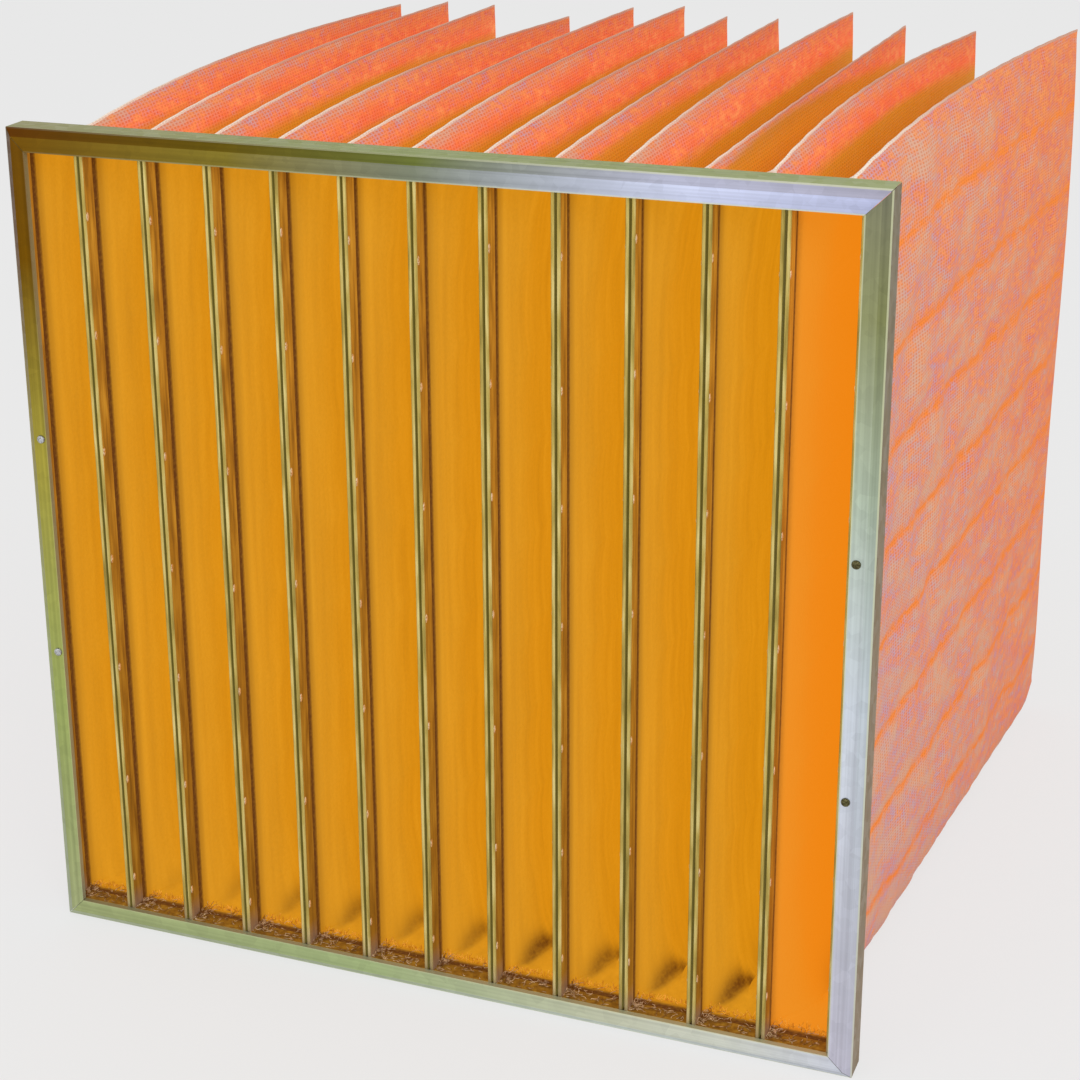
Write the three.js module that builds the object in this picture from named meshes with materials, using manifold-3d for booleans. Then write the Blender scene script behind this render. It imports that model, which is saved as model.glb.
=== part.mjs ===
// Bag air filter: a galvanised header frame with twelve sewn pockets behind it.
// Millimetres, +Z up. Air enters along +Y. The origin lies under the middle of the
// header's bottom rail, half way through the header's depth.
import * as THREE from 'three';
import { mergeVertices } from 'three/addons/utils/BufferGeometryUtils.js';
import Module from 'manifold-3d';

const wasm = await Module();
wasm.setup();

// Header: four mitred rails bent from one gauge of sheet
const headerWidth = 592;
const headerHeight = 592;
const headerDepth = 25;
const headerSheet = 0.9;
const flangeWidth = 15.5;
const bevelWidth = 5.5;
const bevelDepth = 4.5;
const hemDepth = 4;

// Play between pieces that touch on the real filter
const clearance = 0.3;

// Pocket mouth frames: a sheet folded into a U round each bag's mouth
const pocketCount = 12;
const packInset = 12.5;
const packSideInset = 10.4;
const packShift = -4.2;
const frameSlit = 1.2;
const frameSheet = 0.6;
const frameLegDepth = 12;
const skirtThickness = 0.8;
const frameCornerRadius = 3;
const frameCornerSteps = 2;
const foldRadius = 0.5;

// Bags: two media sheets sewn together along top, bottom and rear
const bagDepth = 625;
const mediaThickness = 3;
const rearSeamDepth = 14;
const rearSeamThickness = 4.4;
const cavityEndSetback = 42;
const cavityEndHalfWidth = 1.2;
const finHeight = 3;
const finThickness = 2.2;
const seamAllowance = 9;
const bottomCrown = 8;
const topCrownFront = 0.85;
const bottomCrownFront = 0.55;
const bottomAtRear = 6;
const rearCornerCut = 12;
const shoulder = 40;
const sideFullness = 1.25;
const lensPower = 8;
const lensRoundness = 0.6;
const bagRelief = 0.4;
const taperShift = 0.03;
const innerSideShare = 0.72;
const innerCornerShares = [0.88, 0.96, 1];

// Rows of stitching that hold each pocket to its wedge shape
const rowCount = 8;
const lowestRow = 60;
const highestRowDrop = 74;
const rowPuff = 2.2;

// How far each pocket's rear fold hangs to one side, how far its tip lies below the header's top,
// and how far its top seam bulges above the straight line from mouth to tip
const rearLean = [-16, -18, -23, -1, 11, 8, -3, -5, 11, 6, 15, 49];
const tipDrop = [8, 4, 5, 12, 2, -1, 6, 6, -2, 7, 9, 4];
const topCrown = [20, 16, 12, 14, 14, 14, 14, 14, 12, 3, 19, 18];

// Rivets through the front flange of both side rails
const rivetShankRadius = 1.6;
const rivetHeadRadius = 3;
const rivetHeadHeight = 1.4;
const rivetTailRadius = 2.4;
const rivetTailLength = 2.2;
const rivetInset = 11.2;
const rivetSpacing = 160;
const rightRivetDrop = 14;
const rivetSides = 12;

// Sizes that follow from the ones above
const packWidth = headerWidth - 2 * packSideInset;
const packHeight = headerHeight - 2 * packInset;
const pitch = packWidth / pocketCount;
const frameWidth = pitch - frameSlit;
const frameSection = 2 * frameSheet + skirtThickness + 2 * clearance;
const frameFront = hemDepth + clearance;
const frameRear = frameFront + frameLegDepth;
const bagFront = headerDepth - clearance;
const skirtInset = frameSheet + clearance;
const skirtFront = frameFront + frameSheet + clearance;
const mouthHalfWidth = frameWidth / 2 - skirtInset;
const mouthTop = headerHeight - packInset - skirtInset;
const mouthBottom = packInset + skirtInset;
const rowPitch = (headerHeight - highestRowDrop - lowestRow) / (rowCount - 1);

const galvanised = { color: 0xa3a9ab, metalness: 0.85, roughness: 0.42 };
const mouthSteel = { color: 0xb7a968, metalness: 0.75, roughness: 0.45 };
const media = { color: 0xe58a5c, metalness: 0, roughness: 0.9 };
const rivetSteel = { color: 0x8f949c, metalness: 0.9, roughness: 0.35 };

// Depths are counted from the header's front face, and the group moves them to the origin
const part = new THREE.Group();
part.position.y = -headerDepth / 2;

// One named mesh, with the finish of its material
function addMesh(parent, name, geometry, finish) {
  const mesh = new THREE.Mesh(geometry, new THREE.MeshStandardMaterial(finish));
  mesh.name = name;
  parent.add(mesh);
  return mesh;
}

// A geometry from a flat list of points and triangles
function geometryFrom(points, triangles) {
  const geometry = new THREE.BufferGeometry();
  geometry.setAttribute('position', new THREE.Float32BufferAttribute(points.flat(), 3));
  geometry.setIndex(triangles.flat());
  return geometry;
}

// Triangles between two rings of equal length, closed on themselves
function bandBetween(first, second, count) {
  const triangles = [];
  for (let i = 0; i < count; i += 1) {
    const next = (i + 1) % count;
    triangles.push([first + i, first + next, second + next], [first + i, second + next, second + i]);
  }
  return triangles;
}

// Manifold solids in and out
function toSolid(geometry) {
  const bare = geometry.clone();
  bare.deleteAttribute('normal');
  bare.deleteAttribute('uv');
  const merged = mergeVertices(bare, 1e-4);
  return new wasm.Manifold(new wasm.Mesh({
    numProp: 3,
    vertProperties: new Float32Array(merged.attributes.position.array),
    triVerts: new Uint32Array(merged.index.array),
  }));
}

function fromSolid(solid) {
  const mesh = solid.getMesh();
  const geometry = new THREE.BufferGeometry();
  geometry.setAttribute('position', new THREE.BufferAttribute(mesh.vertProperties, 3));
  geometry.setIndex(new THREE.BufferAttribute(mesh.triVerts, 1));
  return geometry;
}

// The inner line of a bent sheet: each corner moves along the mitre of its two flats
function offsetLine(line, distance) {
  const normals = line.slice(1).map((end, i) => {
    const run = end.clone().sub(line[i]).normalize();
    return new THREE.Vector2(run.y, -run.x);
  });
  return line.map((corner, i) => {
    const before = normals[Math.max(i - 1, 0)];
    const after = normals[Math.min(i, normals.length - 1)];
    const mitre = before.clone().add(after).divideScalar(1 + before.dot(after));
    return corner.clone().addScaledVector(mitre, distance);
  });
}

// Section of a rail as inward distance and depth: hem, front flange, bevel, web, rear flange
function railSection() {
  const rearFlange = packSideInset - Math.abs(packShift) - clearance;
  const outside = [
    new THREE.Vector2(flangeWidth, hemDepth),
    new THREE.Vector2(flangeWidth, 0),
    new THREE.Vector2(bevelWidth, 0),
    new THREE.Vector2(0, bevelDepth),
    new THREE.Vector2(0, headerDepth),
    new THREE.Vector2(rearFlange, headerDepth),
  ];
  const section = outside.concat(offsetLine(outside, headerSheet).reverse());
  return THREE.ShapeUtils.isClockWise(section) ? section.reverse() : section;
}

// A rail along X, outer face at z = 0, both ends cut at 45 degrees
function railGeometry(length) {
  const section = railSection();
  const mitreSetback = clearance / Math.SQRT2;
  const ringAt = (side) => section.map((p) => [side * (length / 2 - p.x - mitreSetback), p.y, -p.x]);
  const points = ringAt(-1).concat(ringAt(1));
  const triangles = bandBetween(0, section.length, section.length);
  for (const [a, b, c] of THREE.ShapeUtils.triangulateShape(section, [])) {
    triangles.push([a, c, b], [a + section.length, b + section.length, c + section.length]);
  }
  return outwards(geometryFrom(points, triangles));
}

// Turns every face round where the solid came out inside out
function outwards(geometry) {
  const p = geometry.attributes.position;
  const index = geometry.index;
  const [a, b, c] = [new THREE.Vector3(), new THREE.Vector3(), new THREE.Vector3()];
  let volume = 0;
  for (let i = 0; i < index.count; i += 3) {
    a.fromBufferAttribute(p, index.getX(i));
    b.fromBufferAttribute(p, index.getX(i + 1));
    c.fromBufferAttribute(p, index.getX(i + 2));
    volume += a.dot(b.cross(c));
  }
  if (volume < 0) {
    for (let i = 0; i < index.count; i += 3) {
      const second = index.getX(i + 1);
      index.setX(i + 1, index.getX(i + 2));
      index.setX(i + 2, second);
    }
  }
  return geometry;
}

// Heights of a side rail's rivets from its middle: the right rail's pair sits lower
function rivetHeights(side) {
  const middle = side > 0 ? -rightRivetDrop : 0;
  return [middle - rivetSpacing / 2, middle + rivetSpacing / 2];
}

// Round clearance holes through the front flange, made in the rail's own frame
function drillRivetHoles(geometry, side) {
  let rail = toSolid(geometry);
  for (const height of rivetHeights(side)) {
    const along = -side * height;
    const drill = new THREE.CylinderGeometry(
      rivetShankRadius + clearance, rivetShankRadius + clearance, 4 * headerSheet, rivetSides);
    drill.translate(along, 0, -rivetInset);
    rail = rail.subtract(toSolid(drill));
  }
  return fromSolid(rail);
}

// Domed head in front of the flange, shank through it and upset tail behind, turned about Y
function rivetGeometry() {
  const seat = clearance;
  const back = headerSheet + clearance;
  const profile = [
    [0, -seat - rivetHeadHeight],
    [rivetHeadRadius * 0.55, -seat - rivetHeadHeight * 0.85],
    [rivetHeadRadius * 0.9, -seat - rivetHeadHeight * 0.45],
    [rivetHeadRadius, -seat],
    [rivetShankRadius, -seat],
    [rivetShankRadius, back],
    [rivetTailRadius, back],
    [rivetTailRadius * 0.8, back + rivetTailLength],
    [0, back + rivetTailLength],
  ].map(([radius, y]) => new THREE.Vector2(radius, y));
  const lathe = new THREE.LatheGeometry(profile, rivetSides);
  return outwards(fromSolid(toSolid(lathe)));
}

function addHeader() {
  const header = new THREE.Group();
  header.position.z = headerHeight / 2;
  part.add(header);
  const rails = [
    ['top_rail', headerWidth, headerHeight / 2, 0],
    ['right_rail', headerHeight, headerWidth / 2, Math.PI / 2],
    ['bottom_rail', headerWidth, headerHeight / 2, Math.PI],
    ['left_rail', headerHeight, headerWidth / 2, -Math.PI / 2],
  ];
  for (const [name, length, reach, turn] of rails) {
    const side = Math.round(Math.sin(turn));
    const geometry = side === 0 ? railGeometry(length) : drillRivetHoles(railGeometry(length), side);
    const rail = addMesh(header, name, geometry, galvanised);
    rail.rotation.y = turn;
    rail.position.set(reach * Math.sin(turn), 0, reach * Math.cos(turn));
  }
  for (const [side, sign] of [['left', -1], ['right', 1]]) {
    const [lower, upper] = rivetHeights(sign);
    for (const [level, height] of [['lower', lower], ['upper', upper]]) {
      const rivet = addMesh(header, `rivet_${side}_${level}`, rivetGeometry(), rivetSteel);
      rivet.position.set(sign * (headerWidth / 2 - rivetInset), 0, height);
    }
  }
}

// Section of a mouth frame as inward distance and depth: a U with its fold in front
function frameSectionLine() {
  const depth = frameRear - frameFront;
  return [
    [0, foldRadius],
    [foldRadius, 0],
    [frameSection - foldRadius, 0],
    [frameSection, foldRadius],
    [frameSection, depth],
    [frameSection - frameSheet, depth],
    [frameSection - frameSheet, frameSheet],
    [frameSheet, frameSheet],
    [frameSheet, depth],
    [0, depth],
  ];
}

// The section carried round a rectangle with rounded corners
function frameGeometry() {
  const section = frameSectionLine();
  const reachX = frameWidth / 2 - frameCornerRadius;
  const reachZ = packHeight / 2 - frameCornerRadius;
  const stations = [];
  for (let corner = 0; corner < 4; corner += 1) {
    const sx = corner === 0 || corner === 3 ? 1 : -1;
    const sz = corner < 2 ? 1 : -1;
    for (let step = 0; step <= frameCornerSteps; step += 1) {
      const angle = (corner + step / frameCornerSteps) * Math.PI / 2;
      stations.push([sx * reachX, sz * reachZ, Math.cos(angle), Math.sin(angle)]);
    }
  }
  const points = [];
  for (const [cx, cz, dx, dz] of stations) {
    for (const [inward, depth] of section) {
      const radius = frameCornerRadius - inward;
      points.push([cx + radius * dx, frameFront + depth, cz + radius * dz]);
    }
  }
  const triangles = [];
  stations.forEach((_, i) => {
    const next = (i + 1) % stations.length;
    triangles.push(...bandBetween(i * section.length, next * section.length, section.length));
  });
  return outwards(geometryFrom(points, triangles));
}

// Share of the way from the header's rear edge to the rear seam
function depthShare(y) {
  return THREE.MathUtils.clamp((y - bagFront) / (bagDepth - bagFront), 0, 1);
}

// 0 in the header, where the bag is a plain rectangle, and 1 where it is a full lens
function lensShare(y) {
  return THREE.MathUtils.smoothstep(y, bagFront, bagFront + shoulder);
}

// Middle of a bag's section: it drifts sideways towards its rear seam
function bagCentre(y, lean) {
  return lean * depthShare(y) ** 1.1;
}

// Half the thickness of a bag at its stitched rows: a wedge made a little full
function bagHalfWidth(y) {
  const t = depthShare(y);
  const rear = rearSeamThickness / 2;
  const front = frameWidth / 2 - bagRelief - rowPuff;
  const wedge = rear + (front - rear) * (1 - t ** sideFullness) ** 0.9;
  return THREE.MathUtils.lerp(mouthHalfWidth, wedge, Math.min(1, 4 * lensShare(y)));
}

// Top and bottom edges of a bag, crowned just behind the header
function bagTop(y, form) {
  const t = depthShare(y);
  return mouthTop + (form.tip - mouthTop) * t + form.crown * Math.sin(Math.PI * t ** topCrownFront);
}

function bagBottom(y) {
  const t = depthShare(y);
  const cut = y > bagDepth - rearSeamDepth / 2 ? rearCornerCut : 0;
  return mouthBottom + (bottomAtRear - mouthBottom) * t
    - bottomCrown * Math.sin(Math.PI * t ** bottomCrownFront) + cut;
}

// How far the lens fills its width at a height share s, from -1 at the bottom to 1 at the top
function lensFill(s) {
  return (1 - Math.abs(s) ** lensPower) ** lensRoundness;
}

// Heights of the stitched rows and of the puffed lobes between them, as shares of half the bag
function sideShares() {
  const middle = headerHeight / 2;
  const half = (mouthTop - mouthBottom) / 2;
  const rows = Array.from({ length: rowCount }, (_, i) => (lowestRow + rowPitch * i - middle) / half);
  return rows.flatMap((s, i) => {
    const lobe = { s: (s + rows[i + 1]) / 2, puff: rowPuff };
    return i < rowCount - 1 ? [{ s, puff: 0 }, lobe] : [{ s, puff: 0 }];
  });
}

// Three points round a corner of the mouth, on the arc that the mouth frame's corner follows
function mouthCorner(width, half, radius) {
  return [0, Math.PI / 4, Math.PI / 2].map((angle) => [
    width - radius * (1 - Math.cos(angle)),
    half - radius * (1 - Math.sin(angle)),
  ]);
}

function blendPoints(mouth, lens, share) {
  return mouth.map(([x, z], i) => [
    THREE.MathUtils.lerp(x, lens[i][0], share),
    THREE.MathUtils.lerp(z, lens[i][1], share),
  ]);
}

// A whole ring at depth y from the right half of its outline
function mirroredRing(right, y, lean, middle) {
  const left = right.map(([x, z]) => [-x, z]).reverse();
  const centre = bagCentre(y, lean);
  return right.concat(left).map(([x, z]) => [centre + x, y, middle + z]);
}

function upsideDown(points) {
  return points.map(([x, z]) => [x, -z]).reverse();
}

// Outer section of a bag at depth y, as a ring that starts at the bottom right
function outerRing(y, form) {
  const top = bagTop(y, form);
  const bottom = bagBottom(y);
  const half = (top - bottom) / 2;
  const width = bagHalfWidth(y);
  const blend = lensShare(y);
  const puffShare = blend * (1 - depthShare(y) ** 3);
  const fin = finThickness / 2;
  const shares = sideShares();
  const side = shares.map(({ s, puff }) => {
    const lens = Math.max(width * lensFill(s), fin) + puff * puffShare;
    return [THREE.MathUtils.lerp(width, lens, blend), s * half];
  });
  const cornerTowards = (rowShare) => {
    const s = (Math.abs(rowShare) + 1) / 2 + taperShift;
    const lens = [[Math.max(width * lensFill(s), fin), s * half], [fin, half - finHeight], [fin, half]];
    return blendPoints(mouthCorner(width, half, frameCornerRadius - skirtInset), lens, blend);
  };
  const lower = upsideDown(cornerTowards(shares[0].s));
  const upper = cornerTowards(shares[shares.length - 1].s);
  return mirroredRing([...lower, ...side, ...upper], y, form.lean, (top + bottom) / 2);
}

// Inner section of a bag at depth y, with fewer points because nothing is stitched there
function innerRing(y, form) {
  const blend = lensShare(y);
  const margin = THREE.MathUtils.lerp(skirtThickness, seamAllowance, blend);
  const top = bagTop(y, form) - margin;
  const bottom = bagBottom(y) + margin;
  const half = (top - bottom) / 2;
  const wall = THREE.MathUtils.lerp(skirtThickness, mediaThickness, blend);
  const width = Math.max(bagHalfWidth(y) - wall, cavityEndHalfWidth);
  const lensPoint = (s) => [Math.max(width * lensFill(s), cavityEndHalfWidth), s * half];
  const mouth = [
    [width, innerSideShare * half],
    ...mouthCorner(width, half, frameCornerRadius - skirtInset - skirtThickness),
  ];
  const lens = [innerSideShare, ...innerCornerShares].map(lensPoint);
  const upper = blendPoints(mouth, lens, blend);
  return mirroredRing([...upsideDown(upper), ...upper], y, form.lean, (top + bottom) / 2);
}

// Joins two rings with different numbers of points, both symmetric about their top and bottom
function stitchRings(firstRing, firstStart, secondRing, secondStart) {
  const share = (ring) => {
    const lengths = ring.map((p, i) => {
      const q = ring[(i + 1) % ring.length];
      return Math.hypot(q[0] - p[0], q[2] - p[2]);
    });
    const total = lengths.reduce((sum, length) => sum + length, 0);
    let run = 0;
    const shares = [0];
    for (const length of lengths) {
      run += length / total;
      shares.push(run);
    }
    return shares;
  };
  const a = share(firstRing);
  const b = share(secondRing);
  const triangles = [];
  let i = 0;
  let j = 0;
  while (i < firstRing.length || j < secondRing.length) {
    const pa = firstStart + (i % firstRing.length);
    const pb = secondStart + (j % secondRing.length);
    const stepFirst = j >= secondRing.length || (i < firstRing.length && a[i + 1] <= b[j + 1]);
    if (stepFirst) {
      triangles.push([pa, firstStart + ((i + 1) % firstRing.length), pb]);
      i += 1;
    } else {
      triangles.push([pa, secondStart + ((j + 1) % secondRing.length), pb]);
      j += 1;
    }
  }
  return triangles;
}

// Closes a ring that is symmetric left to right with rungs across it
function closeRing(start, count) {
  const triangles = [];
  for (let i = 0; i < count / 2 - 1; i += 1) {
    const right = start + i;
    const left = start + count - 1 - i;
    triangles.push([right, right + 1, left - 1], [right, left - 1, left]);
  }
  return triangles;
}

// Depths of the sections along a bag
function outerDepths() {
  const behind = bagDepth - bagFront;
  return [
    skirtFront,
    bagFront,
    bagFront + shoulder / 4,
    bagFront + 0.085 * behind,
    bagFront + 0.28 * behind,
    bagFront + 0.6 * behind,
    bagDepth - rearSeamDepth,
    bagDepth,
  ];
}

function innerDepths() {
  const behind = bagDepth - bagFront;
  return [
    skirtFront,
    bagFront,
    bagFront + shoulder,
    bagFront + 0.45 * behind,
    bagDepth - cavityEndSetback,
  ];
}

// A sewn pocket: outer skin, inner skin and the cut edge of its mouth skirt
function bagGeometry(form) {
  const points = [];
  const triangles = [];
  const addSkin = (depths, ringOf, flip) => {
    const rings = depths.map((y) => ringOf(y, form));
    const starts = rings.map((ring) => {
      const start = points.length;
      points.push(...ring);
      return start;
    });
    const faces = [];
    for (let i = 0; i < rings.length - 1; i += 1) {
      faces.push(...bandBetween(starts[i], starts[i + 1], rings[i].length));
    }
    faces.push(...closeRing(starts[rings.length - 1], rings[0].length));
    triangles.push(...(flip ? faces.map(([p, q, r]) => [p, r, q]) : faces));
    return { ring: rings[0], start: starts[0] };
  };
  const outer = addSkin(outerDepths(), outerRing, false);
  const inner = addSkin(innerDepths(), innerRing, true);
  const edge = stitchRings(outer.ring, outer.start, inner.ring, inner.start);
  triangles.push(...edge.map(([p, q, r]) => [p, r, q]));
  return outwards(geometryFrom(points, triangles));
}

function addPockets() {
  for (let i = 0; i < pocketCount; i += 1) {
    const number = String(i + 1).padStart(2, '0');
    const x = packShift + (i - (pocketCount - 1) / 2) * pitch;
    const frame = addMesh(part, `pocket_frame_${number}`, frameGeometry(), mouthSteel);
    frame.position.set(x, 0, headerHeight / 2);
    const form = {
      lean: rearLean[i % rearLean.length],
      tip: headerHeight - tipDrop[i % tipDrop.length],
      crown: topCrown[i % topCrown.length],
    };
    const bag = addMesh(part, `filter_bag_${number}`, bagGeometry(form), media);
    bag.position.x = x;
  }
}

addHeader();
addPockets();

export default part;
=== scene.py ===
import math

import bpy
import numpy as np
from mathutils import Matrix, Vector


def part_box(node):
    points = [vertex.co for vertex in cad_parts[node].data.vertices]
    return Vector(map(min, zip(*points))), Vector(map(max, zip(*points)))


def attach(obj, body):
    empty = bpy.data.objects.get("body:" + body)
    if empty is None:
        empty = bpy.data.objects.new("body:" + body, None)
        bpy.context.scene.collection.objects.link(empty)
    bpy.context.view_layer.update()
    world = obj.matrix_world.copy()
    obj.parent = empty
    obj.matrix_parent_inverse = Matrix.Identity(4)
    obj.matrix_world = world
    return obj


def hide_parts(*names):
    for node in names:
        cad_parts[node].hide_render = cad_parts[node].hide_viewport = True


print("bag air filter: loading the frame")
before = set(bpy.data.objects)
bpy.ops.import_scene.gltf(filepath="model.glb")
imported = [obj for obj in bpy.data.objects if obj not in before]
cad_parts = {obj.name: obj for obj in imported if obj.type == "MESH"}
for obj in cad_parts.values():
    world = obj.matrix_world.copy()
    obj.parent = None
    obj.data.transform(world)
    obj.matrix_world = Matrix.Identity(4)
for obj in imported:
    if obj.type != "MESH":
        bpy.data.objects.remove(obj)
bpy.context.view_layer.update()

mm = 0.001  # every Blender length below is in metres, the formulas work in millimetres
pocketNumbers = ["%02d" % n for n in range(1, 13)]
pocketPitch = 47.6  # mm from the middle of one pocket's mouth to the next
headerSize, flangeWidth = 0.592, 0.0155  # metres
headerHalf = headerSize / 2


cameraLook = {
    "place": (0.5685, -1.3103, 0.8941),  # metres
    "azimuth": 22.956,  # degrees round the filter from its front
    "elevation": 19.828,
    "roll": -1.057,
    "lens": 78.02,  # mm on a 36 mm sensor
    "shift": (0.0856, -0.0587),
}


def makeCamera(look):
    # the three axes follow from azimuth, elevation and roll, and fill the columns of its matrix
    a, e, r = (math.radians(look[key]) for key in ("azimuth", "elevation", "roll"))
    level = Vector((math.cos(a), math.sin(a), 0))
    ahead = Vector((-math.sin(a) * math.cos(e), math.cos(a) * math.cos(e), -math.sin(e)))
    upright = level.cross(ahead)
    right = math.cos(r) * level + math.sin(r) * upright
    up = -math.sin(r) * level + math.cos(r) * upright
    data = bpy.data.cameras.new("photo_camera")
    data.lens, data.sensor_width = look["lens"], 36.0
    data.shift_x, data.shift_y = look["shift"]
    camera = bpy.data.objects.new("photo_camera", data)
    bpy.context.collection.objects.link(camera)
    turn = Matrix((right, up, -ahead)).transposed().to_4x4()
    camera.matrix_world = Matrix.Translation(look["place"]) @ turn
    bpy.context.scene.camera = camera


lightLook = {
    "world": 0.72,  # strength of the even white light
    "backdrop": "#E8E8E8",
    "floorTone": "#F0F0F0",  # a little over the backdrop, for the shadow it is mixed with
    "lamps": [  # name, place, size in metres, watts
        ("key_softbox", (1.6, -2.4, 2.4), 1.8, 34.0),
        ("fill_softbox", (-1.6, -2.8, 1.2), 2.0, 14.0),
        ("side_softbox", (3.0, 0.6, 1.2), 1.8, 8.0),
    ],
    "floorSize": 14.0,  # metres
    "floorShadow": 0.22,  # share of the real shadow that the floor keeps
}


def linear(hexColour):
    # sRGB to linear light: the low end is a straight line, the rest a power of 2.4
    parts = [int(hexColour[i:i + 2], 16) / 255 for i in (1, 3, 5)]
    return (*[c / 12.92 if c <= 0.04045 else ((c + 0.055) / 1.055) ** 2.4 for c in parts], 1.0)


def addNode(tree, kind, inputs=None, stops=None, **settings):
    # a node with its settings, its ramp stops, and each input either linked or set
    node = tree.nodes.new(kind)
    for name, value in settings.items():
        setattr(node, name, value)
    for i, (place, colour) in enumerate(stops or []):
        ramp = node.color_ramp.elements
        element = ramp[i] if i < 2 else ramp.new(place)
        element.position, element.color = place, linear(colour)
    for name, value in (inputs or {}).items():
        if isinstance(value, bpy.types.NodeSocket):
            tree.links.new(value, node.inputs[name])
        else:
            node.inputs[name].default_value = value
    return node


def emptyMaterial(name):
    # the faint glow of the media and the slots is found by bounces, not sampled as lamps
    material = bpy.data.materials.new(name)
    material.use_nodes = True
    material.cycles.emission_sampling = "NONE"
    material.node_tree.nodes.clear()
    return material, material.node_tree


def makeLight(look):
    # even white light for the object, and the pale backdrop for the camera and for gloss
    world = bpy.data.worlds.new("studio")
    bpy.context.scene.world = world
    world.use_nodes = True
    tree = world.node_tree
    tree.nodes.clear()
    path = addNode(tree, "ShaderNodeLightPath")
    seen = addNode(tree, "ShaderNodeMath", {
        0: path.outputs["Is Camera Ray"], 1: path.outputs["Is Glossy Ray"]}, operation="MAXIMUM")
    seen = addNode(tree, "ShaderNodeMath", {0: seen.outputs[0], 1: path.outputs["Is Transmission Ray"]},
                   operation="MAXIMUM")
    even = addNode(tree, "ShaderNodeBackground", {"Color": (1, 1, 1, 1), "Strength": look["world"]})
    pale = addNode(tree, "ShaderNodeBackground", {"Color": linear(look["backdrop"]), "Strength": 1.0})
    mixed = addNode(tree, "ShaderNodeMixShader", {0: seen.outputs[0], 1: even.outputs[0], 2: pale.outputs[0]})
    addNode(tree, "ShaderNodeOutputWorld", {"Surface": mixed.outputs[0]})
    for name, place, size, watts in look["lamps"]:
        data = bpy.data.lights.new(name, "AREA")
        data.size, data.energy = size, watts
        lamp = bpy.data.objects.new(name, data)
        bpy.context.collection.objects.link(lamp)
        lamp.location = place
        lamp.rotation_euler = (Vector((0, 0.2, 0.3)) - Vector(place)).to_track_quat("-Z", "Y").to_euler()


def makeFloor(look):
    # painted studio floor: one flat square, its camera view mostly the backdrop's own tone
    half = look["floorSize"] / 2
    mesh = bpy.data.meshes.new("floor")
    corners = [(-half, -half, 0), (half, -half, 0), (half, half, 0), (-half, half, 0)]
    mesh.from_pydata(corners, [], [(0, 1, 2, 3)])
    floor = bpy.data.objects.new("floor", mesh)
    bpy.context.collection.objects.link(floor)
    material, tree = emptyMaterial("painted_floor")
    path = addNode(tree, "ShaderNodeLightPath")
    seen = addNode(tree, "ShaderNodeMath", {
        0: path.outputs["Is Camera Ray"], 1: path.outputs["Is Glossy Ray"]}, operation="MAXIMUM")
    share = addNode(tree, "ShaderNodeMath", {
        0: seen.outputs[0], 1: 1 - look["floorShadow"]}, operation="MULTIPLY")
    paint = addNode(tree, "ShaderNodeBsdfDiffuse", {"Color": linear("#E4E4E4")})
    tone = addNode(tree, "ShaderNodeEmission", {"Color": linear(look["floorTone"]), "Strength": 1.0})
    mixed = addNode(tree, "ShaderNodeMixShader", {
        0: share.outputs[0], 1: paint.outputs[0], 2: tone.outputs[0]})
    addNode(tree, "ShaderNodeOutputMaterial", {"Surface": mixed.outputs[0]})
    mesh.materials.append(material)


makeCamera(cameraLook)
makeLight(lightLook)
makeFloor(lightLook)
bpy.context.scene.view_settings.view_transform = "Standard"
print("bag air filter: camera, lamps and floor are up")


# Galvanised steel sheet, roll formed: zinc with faint spangle and draw marks along the rail.
# Each rail fades along its length as the photographed one does, a painted reflection on each of its faces, and its
# bends catch a pale line of painted highlight.
railLook = {
    "top_rail": {
        "along": "X", "start": -headerHalf, "end": headerHalf, "inward": ("Z", headerSize, headerSize - flangeWidth),
        "flange": [(0, "#704C04"), (1, "#BABFDF"), (0.28, "#7E7028"), (0.5, "#7E8470"), (0.8, "#D2D8F2")],
        "bevel": [(0, "#663800"), (1, "#B5B3C6"), (0.28, "#6E5C10"), (0.5, "#747E3C"), (0.78, "#C4C6DC")],
        "web": [(0, "#908C50"), (1, "#98A264"), (0.5, "#8C9850")],
        "glint": (0.05, 0.75),  # how clear its painted highlight lines are at either end
    },
    "bottom_rail": {
        "along": "X", "start": -headerHalf, "end": headerHalf, "inward": ("Z", 0.0, flangeWidth),
        "flange": [(0, "#A8B27C"), (1, "#D0D4E2"), (0.42, "#ACBE88"), (0.72, "#C8CCB4"), (0.85, "#D4D8CC")],
        "bevel": [(0, "#A4AE88"), (1, "#C0C4D0"), (0.45, "#A8B492"), (0.8, "#C6CEC8")],
        "web": [(0, "#6F6C4C"), (1, "#77745C")],
        "glint": (0.2, 0.6),
    },
    "left_rail": {
        "along": "Z", "start": 0.0, "end": headerSize, "inward": ("X", -headerHalf, flangeWidth - headerHalf),
        "flange": [(0, "#A8B080"), (1, "#6C4806"), (0.3, "#A2B066"), (0.62, "#A89C3E"), (0.85, "#704C00")],
        "bevel": [(0, "#9EA88A"), (1, "#583808"), (0.3, "#9AA868"), (0.65, "#948636"), (0.85, "#644006")],
        "web": [(0, "#9AA08A"), (1, "#8A8662")],
        "glint": (0.2, 0.1),
    },
    "right_rail": {
        "along": "Z", "start": 0.0, "end": headerSize, "inward": ("X", headerHalf, headerHalf - flangeWidth),
        "flange": [(0, "#C6C4D4"), (1, "#84846A"), (0.45, "#D2DAE4"), (0.68, "#B6C4B0"), (0.87, "#94986C")],
        "bevel": [(0, "#C6C4D4"), (1, "#80806A"), (0.45, "#CCD6DE"), (0.68, "#AAB8A2"), (0.87, "#888C5C")],
        "web": [(0, "#7E6844"), (1, "#6A5C34"), (0.5, "#7A6238")],
        "glint": (0.5, 0.7),
    },
}
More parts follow.
